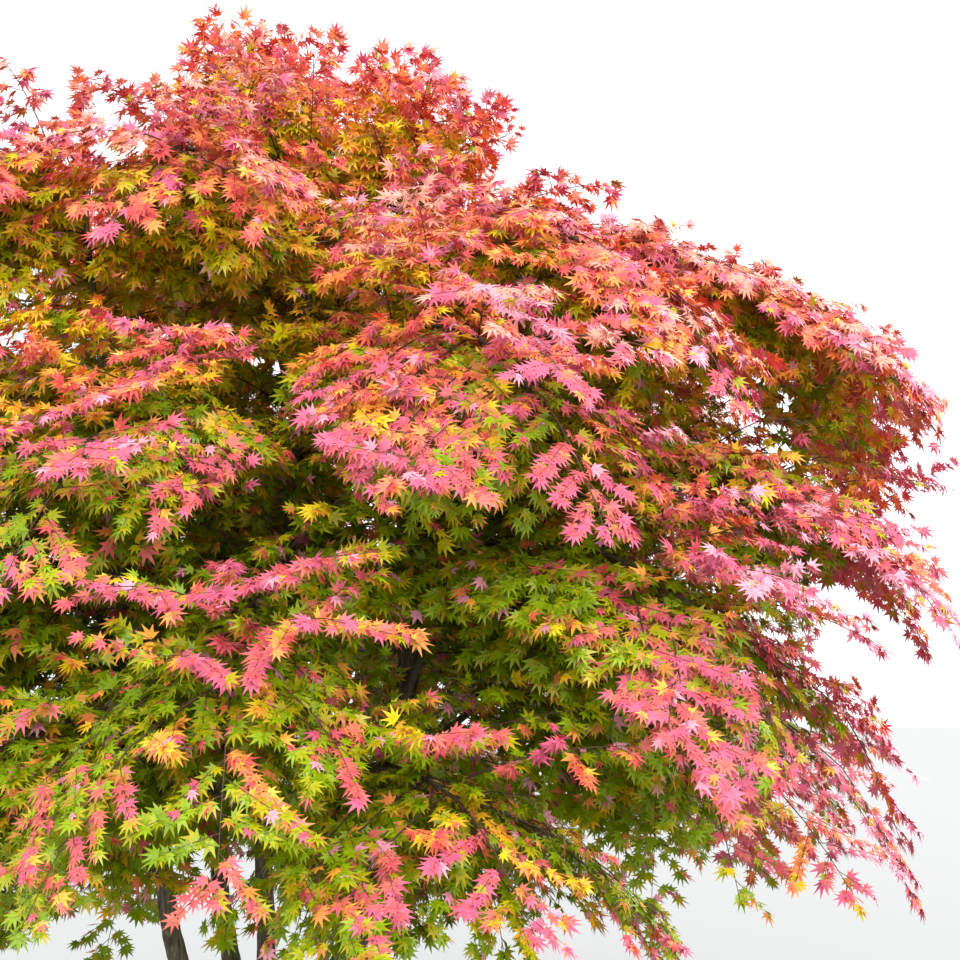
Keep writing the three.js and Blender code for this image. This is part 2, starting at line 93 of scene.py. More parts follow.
BARK_RELIEF = 0.0035  # how far the ridges of the bark stand out at the foot
BARK_GRAIN = 42  # ridges for each metre round a limb
BARK_STRETCH = 0.16  # their frequency along it, as a share of that
BARK_ROUGHNESS = 0.9
BARK_OCTAVES = 3
KNOB_GRAIN = (14, 14, 9)
KNOB_SHARE = 1.2  # how far a knob stands out, as a share of a ridge
KNOB_FROM = 0.25  # noise above this makes a knob
RELIEF_FADE = 0.02  # height above the flat cut over which the relief begins


def chance(a, b):
    """Seeded number from 0 to 1, the same for the same pair of whole numbers."""
    x = math.sin(a * HASH[0] + b * HASH[1] + SEED) * HASH[2]
    return x - math.floor(x)


def spread(a, b, size):
    return (2 * chance(a, b) - 1) * size


def outward(bearing):
    return np.array([math.cos(math.radians(bearing)), math.sin(math.radians(bearing)), 0.0])


def tilted(bearing, tilt):
    """Direction that is tilted from upright towards a bearing."""
    return outward(bearing) * math.sin(math.radians(tilt)) + UP * math.cos(math.radians(tilt))


def at(bearing, distance, height):
    return outward(bearing) * distance + UP * height


def unit(vectors):
    return vectors / np.linalg.norm(vectors, axis=-1, keepdims=True)


def length_of(points):
    return np.linalg.norm(np.diff(points, axis=0), axis=1).sum()


def evenly(points, count):
    """The same line through points that are evenly spaced along it."""
    run = np.concatenate([[0], np.cumsum(np.linalg.norm(np.diff(points, axis=0), axis=1))])
    stations = np.linspace(0, run[-1], count)
    return np.column_stack([np.interp(stations, run, points[:, axis]) for axis in range(3)])


def arc(start, leaving, arriving, end, count=CURVE_STEPS + 1):
    """Points along the curve that leaves one place in a direction and arrives at another."""
    pull = np.linalg.norm(end - start) / 3
    t = np.linspace(0, 1, CURVE_STEPS + 1)[:, None]
    near, far = start + leaving * pull, end - arriving * pull
    points = (1 - t) ** 3 * start + 3 * (1 - t) ** 2 * t * near + 3 * (1 - t) * t ** 2 * far + t ** 3 * end
    return evenly(points, count)


def place_on(points, along):
    """Point and heading at a share of a line's length."""
    step = min(int(along * (len(points) - 1)), len(points) - 2)
    part = along * (len(points) - 1) - step
    heading = points[step + 1] - points[step]
    return points[step] + heading * part, unit(heading)


def placed(name, data):
    """Object of a mesh, light or camera, put in the scene."""
    made = bpy.data.objects.new(name, data)
    bpy.context.scene.collection.objects.link(made)
    return made


def node_tree(name, kind, inputs, outputs):
    """Node tree with named inputs, each of a kind and with a value or none, and named outputs."""
    tree = bpy.data.node_groups.new(name, kind)
    for label, (socket, value) in inputs.items():
        made = tree.interface.new_socket(label, in_out="INPUT", socket_type="NodeSocket" + socket)
        if value is not None:
            made.default_value = value
    for label, socket in outputs.items():
        tree.interface.new_socket(label, in_out="OUTPUT", socket_type="NodeSocket" + socket)
    return tree, tree.nodes.new("NodeGroupInput"), tree.nodes.new("NodeGroupOutput")


def wired(tree, kind, links=None, **settings):
    """Node with its settings and with inputs, named or numbered, set to a value or linked."""
    node = tree.nodes.new(kind)
    for key, value in settings.items():
        setattr(node, key, value)
    for key, value in (links or {}).items():
        if isinstance(value, bpy.types.NodeSocket):
            tree.links.new(value, node.inputs[key])
        else:
            node.inputs[key].default_value = value
    return node


def combined(tree, operation, first, second):
    return wired(tree, "ShaderNodeMath", {0: first, 1: second}, operation=operation).outputs[0]


def attribute_of(tree, name, kind):
    found = wired(tree, "GeometryNodeInputNamedAttribute", {"Name": name}, data_type=kind)
    return found.outputs["Attribute"]


def grown(source, tree, name, values):
    """Plain mesh object that a tree makes of a mesh, with the tree's named inputs set."""
    carrier = placed(name + "_lines", source)
    modifier = carrier.modifiers.new("grow", "NODES")
    modifier.node_group = tree
    for item in tree.interface.items_tree:
        if item.name in values:
            modifier[item.identifier] = values[item.name]
    bpy.context.view_layer.update()
    evaluated = carrier.evaluated_get(bpy.context.evaluated_depsgraph_get())
    made = bpy.data.meshes.new_from_object(evaluated)
    made.name = name
    bpy.data.objects.remove(carrier)
    bpy.data.meshes.remove(source)
    return placed(name, made)


def add_attribute(mesh, label, kind, values, domain="POINT"):
    """Gives a mesh a named attribute, with a value for each of its points or faces."""
    attribute = mesh.attributes.new(label, kind, domain)
    field = "vector" if kind == "FLOAT_VECTOR" else "value"
    number_type = np.int32 if kind == "INT" else np.float32
    attribute.data.foreach_set(field, np.ascontiguousarray(values, number_type).ravel())


def lines_mesh(lines):
    """Mesh of one chain of edges for each line, which is its points and its radii."""
    mesh = bpy.data.meshes.new("lines")
    points = np.concatenate([line for line, _ in lines])
    starts = np.cumsum([0] + [len(line) for line, _ in lines])
    edges = [np.column_stack([np.arange(a, b - 1), np.arange(a + 1, b)])
             for a, b in zip(starts[:-1], starts[1:])]
    mesh.from_pydata(points.tolist(), np.concatenate(edges).tolist(), [])
    add_attribute(mesh, "thick", "FLOAT", np.concatenate([radii for _, radii in lines]))
    return mesh


# Skins each chain of edges with a round limb of its own radius
skin, entry, leave = node_tree(
    "limb_skin", "GeometryNodeTree",
    {"Geometry": ("Geometry", None), "Sides": ("Int", STEM_SIDES), "Closed Ends": ("Bool", True),
     "Finish": ("Material", None)}, {"Geometry": "Geometry"})
follow = wired(skin, "GeometryNodeMeshToCurve", {"Mesh": entry.outputs["Geometry"]})
section = wired(skin, "GeometryNodeCurvePrimitiveCircle",
                {"Radius": 1, "Resolution": entry.outputs["Sides"]})
sweep = wired(skin, "GeometryNodeCurveToMesh",
              {"Curve": follow.outputs["Curve"], "Profile Curve": section.outputs["Curve"],
               "Scale": attribute_of(skin, "thick", "FLOAT"), "Fill Caps": entry.outputs["Closed Ends"]})
realize = wired(skin, "GeometryNodeRealizeInstances", {"Geometry": sweep.outputs["Mesh"]})
paint = wired(skin, "GeometryNodeSetMaterial",
              {"Geometry": realize.outputs["Geometry"], "Material": entry.outputs["Finish"]})
skin.links.new(paint.outputs["Geometry"], leave.inputs["Geometry"])


def limb_body(name, lines, sides, finish, closed=True):
    return grown(lines_mesh(lines), skin, name, {"Sides": sides, "Closed Ends": closed, "Finish": finish})


# Weathering of smooth maple bark: pale upright streaks, fine cracks, flecks and a green bloom
weathering, entry, leave = node_tree(
    "bark_weathering", "ShaderNodeTree", {"Grain": ("Float", 60.0), "Bloom": ("Float", 0.5)},
    dict.fromkeys(("Streak", "Bloom", "Fleck", "Crack", "Height"), "Float"))
grain = entry.outputs["Grain"]
where = weathering.nodes.new("ShaderNodeTexCoord").outputs["Object"]


def stretched(*scale):
    """Place on a limb with its axes scaled, which draws a pattern out along them."""
    return wired(weathering, "ShaderNodeMapping", {"Vector": where, "Scale": scale}).outputs[0]


def clouds(place, scale, detail=4.0, roughness=0.5):
    made = wired(weathering, "ShaderNodeTexNoise",
                 {"Vector": place, "Scale": scale, "Detail": detail, "Roughness": roughness})
    return made.outputs["Fac"]


def ramped(value, low, high):
    """Mask that rises from 0 at one value to 1 at another."""
    made = wired(weathering, "ShaderNodeMapRange", {"Value": value, "From Min": low, "From Max": high})
    return made.outputs["Result"]


cracks = clouds(stretched(1, 1, 0.12), grain, 6.0, 0.65)
streaks = clouds(stretched(2.4, 2.4, 0.11), grain)
flecks = wired(weathering, "ShaderNodeTexVoronoi", {"Vector": stretched(1, 1, 2.2), "Scale": 62.0})
crack = ramped(cracks, 0.43, 0.33)
ridge = combined(weathering, "ADD", cracks, streaks)
masks = {
    "Streak": ramped(streaks, 0.48, 0.66),
    "Bloom": combined(weathering, "MULTIPLY", ramped(clouds(where, 7.0), 0.45, 0.7),
                      entry.outputs["Bloom"]),
    "Fleck": ramped(flecks.outputs["Distance"], 0.19, 0.02),
    "Crack": crack,
    "Height": combined(weathering, "SUBTRACT", ridge, crack),
}
for label, mask in masks.items():
    weathering.links.new(mask, leave.inputs[label])


def linear(red, green, blue):
    """Plain colour from its brightness on a screen, each from 0 to 255."""
    shares = [value / 255 for value in (red, green, blue)]
    return tuple(s / 12.92 if s <= 0.04045 else ((s + 0.055) / 1.055) ** 2.4 for s in shares) + (1.0,)


def plain_finish(name, colour, roughness, shine=0.5):
    material = bpy.data.materials.new(name)
    material.use_nodes = True
    surface = material.node_tree.nodes["Principled BSDF"]
    surface.inputs["Base Color"].default_value = colour
    surface.inputs["Roughness"].default_value = roughness
    surface.inputs["Specular IOR Level"].default_value = shine
    return material


def bark(name, wood, pale, green, grain, bloom, depth):
    """Bark finish: wood with paler streaks, a green bloom, pale flecks, dark cracks and relief."""
    material = plain_finish(name, wood, 0.8, 0.3)
    tree = material.node_tree
    weather = wired(tree, "ShaderNodeGroup", {"Grain": grain, "Bloom": bloom}, node_tree=weathering)
    colour = wood
    for mask, tone in (("Streak", pale), ("Bloom", green), ("Fleck", linear(142, 134, 112)),
                       ("Crack", linear(40, 33, 25))):
        mix = wired(tree, "ShaderNodeMix", {"Factor": weather.outputs[mask], 6: colour, 7: tone},
                    data_type="RGBA")
        colour = mix.outputs[2]
    bump = wired(tree, "ShaderNodeBump", {"Height": weather.outputs["Height"], "Strength": 0.6,
                                          "Distance": depth})
    surface = tree.nodes["Principled BSDF"]
    tree.links.new(colour, surface.inputs["Base Color"])
    tree.links.new(bump.outputs["Normal"], surface.inputs["Normal"])
    return material


old_bark = bark("bark_old", linear(88, 77, 61), linear(128, 117, 98), linear(92, 95, 60),
                grain=62.0, bloom=0.6, depth=0.005)

stems = {name: arc(at(size["bearing"], size["ring"], STEM_START),
                   tilted(size["bearing"], size["foot_tilt"]), tilted(size["bearing"], size["top_tilt"]),
                   at(size["bearing"], size["offset"], size["top"])) for name, size in STEMS.items()}


def stem_radius(along):
    return STEM_RADIUS + (STEM_TIP_RADIUS - STEM_RADIUS) * along ** STEM_TAPER


def trunk_body():
    """The bole on its flat cut, rounded over at its head."""
    heights = np.linspace(0, 1, TRUNK_LEVELS + 1)
    angles = np.arange(TRUNK_SIDES) * 2 * math.pi / TRUNK_SIDES
    flare = ROOT_FLARE * np.exp(-np.maximum(0, heights - TOE) * FLARE_FADE)
    over = np.maximum(0, (heights - SHOULDER) / (1 - SHOULDER))
    waist = TRUNK_RADIUS * (1 - HEAD_NARROWING * over ** 2)
    ridges = RIDGE_DEPTH * (1 + RIDGE_SCATTER * np.sin(2 * angles + 1)) * np.cos(
        ROOT_RIDGES * angles + RIDGE_SCATTER * np.sin(angles))
    radius = waist[:, None] + flare[:, None] * (1 + ridges)
    rings = np.stack([radius * np.cos(angles), radius * np.sin(angles),
                      np.repeat(heights[:, None] * TRUNK_HEIGHT, TRUNK_SIDES, axis=1)], axis=-1)
    faces = []
    for level in range(TRUNK_LEVELS):
        base = level * TRUNK_SIDES
        for side in range(TRUNK_SIDES):
            turn = (side + 1) % TRUNK_SIDES
            faces.append((base + side, base + turn, base + TRUNK_SIDES + turn, base + TRUNK_SIDES + side))
    faces.append(tuple(reversed(range(TRUNK_SIDES))))
    faces.append(tuple(range(TRUNK_LEVELS * TRUNK_SIDES, (TRUNK_LEVELS + 1) * TRUNK_SIDES)))
    mesh = bpy.data.meshes.new("bole")
    mesh.from_pydata(rings.reshape(-1, 3).tolist(), [], faces)
    return mesh


def vertices_of(mesh):
    points = np.empty(len(mesh.vertices) * 3, np.float32)
    mesh.vertices.foreach_get("co", points)
    return points.reshape(-1, 3).astype(float)


def set_vertices(mesh, points):
    mesh.vertices.foreach_set("co", points.astype(np.float32).ravel())
    mesh.update()


def relieve(mesh, depth):
    """Raises the bark's low upright ridges and knobs on a body's surface."""
    points = vertices_of(mesh)
    normals = np.empty(len(points) * 3, np.float32)
    mesh.vertex_normals.foreach_get("vector", normals)
    lifts = []
    for x, y, z in points:
        ridge = noise.fractal(Vector((x * BARK_GRAIN, y * BARK_GRAIN, z * BARK_GRAIN * BARK_STRETCH)),
                              BARK_ROUGHNESS, 2.0, BARK_OCTAVES)
        knob = noise.noise(Vector((x * KNOB_GRAIN[0], y * KNOB_GRAIN[1], z * KNOB_GRAIN[2])))
        lifts.append(depth * (ridge + KNOB_SHARE * max(0.0, knob - KNOB_FROM)))
    lifts = np.array(lifts) * np.clip(points[:, 2] / RELIEF_FADE, 0, 1)
    set_vertices(mesh, points + normals.reshape(-1, 3) * lifts[:, None])


along = np.linspace(0, 1, STEM_RINGS)
stem_lines = []
noise.seed_set(SEED)
for order, line in enumerate(stems.values()):
    points = evenly(line, STEM_RINGS)
    run = along * length_of(line)
    swelling = 1 + STEM_SWELLING * np.exp(-(np.maximum(0, run - SWELLING_REACH) / SWELLING_REACH) ** 2)
    radii = stem_radius(along)
    stray = np.array([noise.noise_vector(Vector((order, 0, length / WAVER_STEP))) for length in run])
    stray *= (WAVER * radii * np.minimum(1, run / (2 * SWELLING_REACH)))[:, None]
    stem_lines.append((points + stray, radii * swelling))
wood = limb_body("wood", stem_lines, STEM_SIDES, old_bark)
bole = placed("bole", trunk_body())
with bpy.context.temp_override(active_object=wood, selected_editable_objects=[wood, bole]):
    bpy.ops.object.join()
joined = wood.modifiers.new("joined", "REMESH")
joined.mode = "VOXEL"
joined.voxel_size = JOIN_VOXEL
eased = wood.modifiers.new("eased", "SMOOTH")
eased.factor = 0.5
eased.iterations = JOIN_SMOOTHING
bpy.context.view_layer.update()
body = bpy.data.meshes.new_from_object(wood.evaluated_get(bpy.context.evaluated_depsgraph_get()))
bpy.data.objects.remove(wood)
points = vertices_of(body)
points[:, 2] = np.where(points[:, 2] < JOIN_VOXEL, 0, points[:, 2])
set_vertices(body, points)
relieve(body, BARK_RELIEF)
body.shade_smooth()
body.materials.clear()
body.materials.append(old_bark)
trunk_and_stems = placed("trunk_and_stems", body)
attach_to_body(trunk_and_stems, "root")
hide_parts("trunk", *("stem_" + name for name in STEMS))

# Main boughs
# The limbs that carry the foliage: each leaves a stem with a swollen collar, climbs outward and
# tapers to where its mass of foliage begins. Their bark is younger, smoother and greener.
BOUGH_SHARE = 0.56
BOUGH_TIP_RADIUS = 0.012
BOUGH_TAPER = 0.002
BOUGH_SIDES = 12
BOUGH_RINGS = 60
BOUGH_SWELLING = 0.5
COLLAR_REACH = 0.090
BOUGH_RELIEF = 0.0014
TIERS = {
    "middle": dict(height=2.580, left_lift=0.070, first=-108, rise=0.560, fall=0.170, falling=-0.9,
                   hang=24, reaches=(1.640, 1.900, 2.240, 2.050, 1.850, 1.780, 1.820)),
    "belt": dict(height=1.930, left_lift=0.040, first=-88, rise=0.480, fall=0.160, falling=-0.8,
                 hang=22, reaches=(1.800, 2.050, 2.130, 1.950, 1.830, 1.720, 1.720)),
    "skirt": dict(height=1.390, left_lift=-0.050, first=-62, rise=0.350, fall=-0.020, falling=-0.3,
                  hang=8, reaches=(1.740, 1.820, 1.700, 1.600, 1.450, 1.500)),
}
STAGGER = 0.110
HEIGHT_SCATTER = 0.040
ATTACH_SCATTER = 0.060
ROOT_SHARE = 0.41
FAN_ARCH = 0.070
FAN_RISING = 0.42
UPPER_SIDES = {
    "right_front": dict(reach=1.900, fall=0.240),
    "right_back": dict(reach=1.850, fall=0.240),
    "left_back": dict(reach=1.560, fall=0.060),
    "left_front": dict(reach=1.560, fall=0.040),
}
UPPER_FAN = dict(fall=0.0, falling=-1.1, half_angle=36, hang=24, spray=0.8)
LEADER_FANS = {
    "front": dict(bearing=-108, reach=1.200, root=0.330, height=3.290, attach=2.600, half_angle=42),
    "back": dict(bearing=82, reach=1.200, root=0.330, height=3.300, attach=2.640, half_angle=42),
    "right": dict(bearing=-2, reach=2.400, root=0.480, height=3.180, attach=2.480, half_angle=24,
                  fall=0.400),
}
PLUME_LEFT = dict(tilt_bearing=178, tilt=25, length=0.420, width=0.520)
PLUME_RIGHT = dict(tilt_bearing=-12, tilt=9, length=0.330, width=0.500)
PLUME_RIGHT_ROOT = dict(bearing=8, distance=0.400, height=3.200)
PLUME_RIGHT_ATTACH = 2.760
PLUME_NARROWING = 0.3
PLUME_SPRAY = 0.78
PLUME_HANG = 8
FRONT = -80
SPRAY_LENGTH = 0.440
SPRAY_SHARE = 0.8
NARROWEST = 0.55
WIDENING = 0.67

boughs = {}
masses = {}


def nearest_stem(bearing):
    def apart(name):
        return math.acos(math.cos(math.radians(STEMS[name]["bearing"] - bearing)))
    return min((name for name in STEMS if name != "leader"), key=apart)


def bough_to(name, stem_name, height, root, arriving):
    """Bough from a height on a stem to the root of its mass."""
    line = stems[stem_name]
    share = np.interp(height, line[:, 2], np.linspace(0, 1, len(line)))
    start, rising = place_on(line, share)
    flat = (root - start) * (1, 1, 0)
    thick = max(stem_radius(share) * BOUGH_SHARE, BOUGH_TIP_RADIUS + BOUGH_TAPER)
    boughs[name] = arc(start, unit(rising + unit(flat)), arriving, root), thick


def add_fan(name, tier, bearing, root, leaving, size):
    """Fan of foliage that spreads outward from its root, arches over and falls to its tip."""
    tip = at(bearing, size["reach"] - SPRAY_SHARE * SPRAY_LENGTH, root[2] - size["fall"])
    arriving = unit(outward(bearing) + UP * size["falling"])
    span = math.hypot(tip[0], tip[1]) * math.tan(math.radians(size["half_angle"]))
    masses[name] = dict(
        tier=tier, line=arc(root, leaving, arriving, tip), face=UP, upright=False,
        hang=size["hang"], spray=size["spray"],
        width=lambda along: span * min(1, NARROWEST + (1 - NARROWEST) * along / WIDENING))


def add_plume(name, root, leaving, size):
    """Plume that stands nearly upright, with its shoots all round."""
    tip = root + tilted(size["tilt_bearing"], size["tilt"]) * size["length"]
    masses[name] = dict(
        tier="plume", line=arc(root, leaving, UP, tip), face=outward(FRONT), upright=True,
        hang=PLUME_HANG, spray=PLUME_SPRAY,
        width=lambda along: size["width"] * (1 - PLUME_NARROWING * along))


for tier, size in TIERS.items():
    count = len(size["reaches"])
    for i, reach in enumerate(size["reaches"]):
        bearing = size["first"] + i * 360 / count
        height = (size["height"] - size["left_lift"] * math.cos(math.radians(bearing))
                  + STAGGER * (1 if i % 2 else -1) + spread(i, len(tier), HEIGHT_SCATTER))
        root = at(bearing, reach * ROOT_SHARE, height + FAN_ARCH)
        leaving = unit(outward(bearing) + UP * FAN_RISING)
        name = f"{tier}_{i + 1}"
        add_fan(name, tier, bearing, root, leaving,
                {**size, "reach": reach, "fall": size["fall"] + FAN_ARCH, "half_angle": 180 / count,
                 "spray": 1.0})
        attach = root[2] - size["rise"] + spread(i, 5, ATTACH_SCATTER)
        bough_to(name, nearest_stem(bearing), attach, root, leaving)
for name, size in UPPER_SIDES.items():
    root, leaving = place_on(stems[name], 1.0)
    add_fan(f"upper_{name}", "upper", STEMS[name]["bearing"], root, leaving, {**UPPER_FAN, **size})
for side, size in LEADER_FANS.items():
    root = at(size["bearing"], size["root"], size["height"])
    leaving = unit(outward(size["bearing"]) + UP * FAN_RISING)
    add_fan(f"upper_{side}", "upper", size["bearing"], root, leaving, {**UPPER_FAN, **size})
    bough_to(f"upper_{side}", "leader", size["attach"], root, leaving)
add_plume("plume_left", *place_on(stems["leader"], 1.0), PLUME_LEFT)
root = at(**PLUME_RIGHT_ROOT)
leaving = tilted(PLUME_RIGHT["tilt_bearing"], PLUME_RIGHT["tilt"])
add_plume("plume_right", root, leaving, PLUME_RIGHT)
bough_to("plume_right", "leader", PLUME_RIGHT_ATTACH, root, leaving)

young_bark = bark("bark_young", linear(84, 70, 53), linear(112, 99, 78), linear(88, 96, 54),
                  grain=100.0, bloom=0.5, depth=0.002)
along = np.linspace(0, 1, BOUGH_RINGS)
bough_lines = []
for line, thick in boughs.values():
    points = evenly(line, BOUGH_RINGS)
    run = along * length_of(line)
    collar = 1 + BOUGH_SWELLING * np.exp(-(run / COLLAR_REACH) ** 2)
    bough_lines.append((points, (thick + (BOUGH_TIP_RADIUS - thick) * along) * collar))
main_boughs = limb_body("main_boughs", bough_lines, BOUGH_SIDES, young_bark)
relieve(main_boughs.data, BOUGH_RELIEF)
main_boughs.data.shade_smooth()
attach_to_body(main_boughs, "root")
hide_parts(*("bough_" + name for name in boughs))

# Twigs
# Each mass hangs on one branch that forks again and again: shoots to either side, above and below,
# and fine alternate twigs on them. The twigs' bark is smooth, a dull red-brown.
BRANCH_SIDES = 8
BRANCH_POINTS = 24
BRANCH_TIP_RADIUS = 0.0055
PAIR_STEP = 0.135  # between the pairs of side shoots along a fan's branch
PLUME_PAIRS = 14
PAIR_OFFSET = 0.02
FORK_ANGLE = 54
FORK_SCATTER = 15
HANG_SHARES = {"top": 0.25, "under": 0.8, "inner": 0.5}  # of the angle at which a mass hangs
STEM_HANG = 10
HANG_SCATTER = 13
STEEPEST = -0.40  # lowest slope at which a shoot on top may leave
SIDE_SLOPE = -0.16
SIDE_TILT = 0.45
PLUME_TURN = 85
RISING_STEP = 0.120
RISING_START = 0.3
RISING = (0.8, 0.110)  # slope and length of the short shoots on top of a mass
RISING_WHERE = {  # of these masses, which have more room above them, or less
    "upper_right": (0.1, 0.090), "upper_right_front": (0.3, 0.090), "middle_2": (1.1, 0.180),
    "middle_3": (1.2, 0.210), "belt_1": (1.2, 0.210), "belt_2": (1.1, 0.170), "belt_3": (1.2, 0.180),
    "belt_5": (1.1, 0.180), "skirt_1": (1.1, 0.180), "skirt_2": (1.0, 0.150),
}
HANGING_SHOOTS = 6
HANGING_START = 0.6
HANGING_SLOPE = -0.75
HANGING_LENGTH = 0.080
HANGING_SPRAY = 0.7
# Distance between the pairs that fill a fan from below
UNDER_STEPS = {"upper": 0.115, "middle": 0.180, "belt": 0.200, "skirt": 0.200}
UNDER_FORK = 62
UNDER_SLOPES = {"upper": -1.00, "middle": -0.8, "belt": -0.8, "skirt": -0.8}
UNDER_SPAN = 0.82  # share of the branch that carries them
UNDER_SHARE = 0.68  # of the fan's half width
INNER_SHOOTS = 13  # shoots on the limb that carries the mass
INNER_START = 0.3
INNER_LENGTH = 0.210
INNER_TURN = 137
INNER_RISE = 0.5  # how far such a shoot leaves along the limb
INNER_ASIDE = 0.9  # and away from it
INNER_TILT = 0.5
UPRIGHT_LEAN = 0.1  # keeps a direction square to an upright limb defined
STEM_SHOOTS = 28  # shoots straight on each stem, within the crown
STEM_SHOOTS_START = 1.80  # height of the lowest of them
STEM_SHOOT_LENGTH = 0.260
STEM_SHOOT_SCATTER = 0.4
STEM_SHOOT_RISE = 0.4
SHORT_TURN = 36
RISING_SPRAY = 0.9
UNDER_SPRAY = 0.78
SIZE_SCATTER = 0.1
SHOOTS_MOST = 80
SHORTEST_TWIG = 0.060
TWIG_POINTS = 6
# Depth to which a shoot's bare twig sags, as a share of its length
TWIG_SAGS = {"plume": 0.08, "upper": 0.10, "middle": 0.10, "belt": 0.12, "skirt": 0.17}
STEM_SAG = 0.10
SPRAY_WIDTH = 0.470
SPRAY_DROOP = 0.15
SHOOT_POINTS = 8
FEWEST_POINTS = 3
SHOOT_RADIUS = 0.0036
SHOOT_THICKNESS = (0.7, 0.6)  # share of that radius, and what each metre of length adds
SHOOT_TIP_RADIUS = 0.0013
# Distance from one fine twig to the next along a shoot
TWIG_STEPS = {"plume": 0.042, "upper": 0.042, "middle": 0.049, "belt": 0.050, "skirt": 0.056}
TWIG_START = 0.7
FEWEST_TWIGS = 3
FOOT_WIDTH = 0.6  # width of the fine twigs at a shoot's foot, as a share of the spray's
SPRAY_BULGE = 0.4
SPRAY_END_WIDTH = 0.45
TWIG_FORK = 52
TWIG_FORK_SCATTER = 14
TWIG_RISE = 0.35
TWIG_LENGTH_SCATTER = 0.25
TWIG_HANG = 0.07
TWIG_RADIUS = 0.0014
TWIG_TIP_RADIUS = 0.0007
TWIG_SIDES = 3
END_TWIG = 0.05
LIMB_MARGIN = 0.010
BOX_MARGIN = 0.010
SPACE_POINTS = 11  # of a branch, by which its mass's space is told from the others'

space_samples = {name: evenly(mass["line"], SPACE_POINTS) for name, mass in masses.items()}
space_points = np.concatenate(list(space_samples.values()))
space_owners = np.repeat(np.arange(len(masses)), SPACE_POINTS)
limb_points = np.concatenate([points for points, _ in stem_lines + bough_lines])
limb_radii = np.concatenate([radii for _, radii in stem_lines + bough_lines])
box_low, box_high = (np.array(corner) for corner in cad_box)


def tree_of(points):
    """Search tree that finds the nearest of some points."""
    made = kdtree.KDTree(len(points))
    for number, point in enumerate(points):
        made.insert(point, number)
    made.balance()
    return made


space_tree = tree_of(space_points)
limb_tree = tree_of(limb_points)


def in_space(number, points):
    """True for points nearer to their own mass's branch than to any other's."""
    return np.array([space_owners[space_tree.find(point)[1]] == number for point in points])


def in_box(points):
    """True for points within the tree's own reach."""
    return ((points > box_low - BOX_MARGIN) & (points < box_high + BOX_MARGIN)).all(axis=1)


def off_limbs(points):
    """True for points that keep clear of the bark of every stem and bough."""
    found = [limb_tree.find(point)[1:] for point in points]
    return np.array([gap - limb_radii[number] > LIMB_MARGIN for number, gap in found])


def turned(vector, axis, degrees):
    """Vector turned about an axis."""
    angle = math.radians(degrees)
    return (vector * math.cos(angle) + np.cross(axis, vector) * math.sin(angle)
            + axis * np.dot(axis, vector) * (1 - math.cos(angle)))


def across(face, heading):
    """The face's direction square to a heading."""
    return unit(face - heading * np.dot(face, heading))


def round_limb(heading, i, number, seed):
    """Direction square to a limb, turned on from that of the shoot before."""
    aside = across(UP + outward(FRONT) * UPRIGHT_LEAN, heading)
    return turned(aside, heading, INNER_TURN * i + 360 * chance(number, seed))


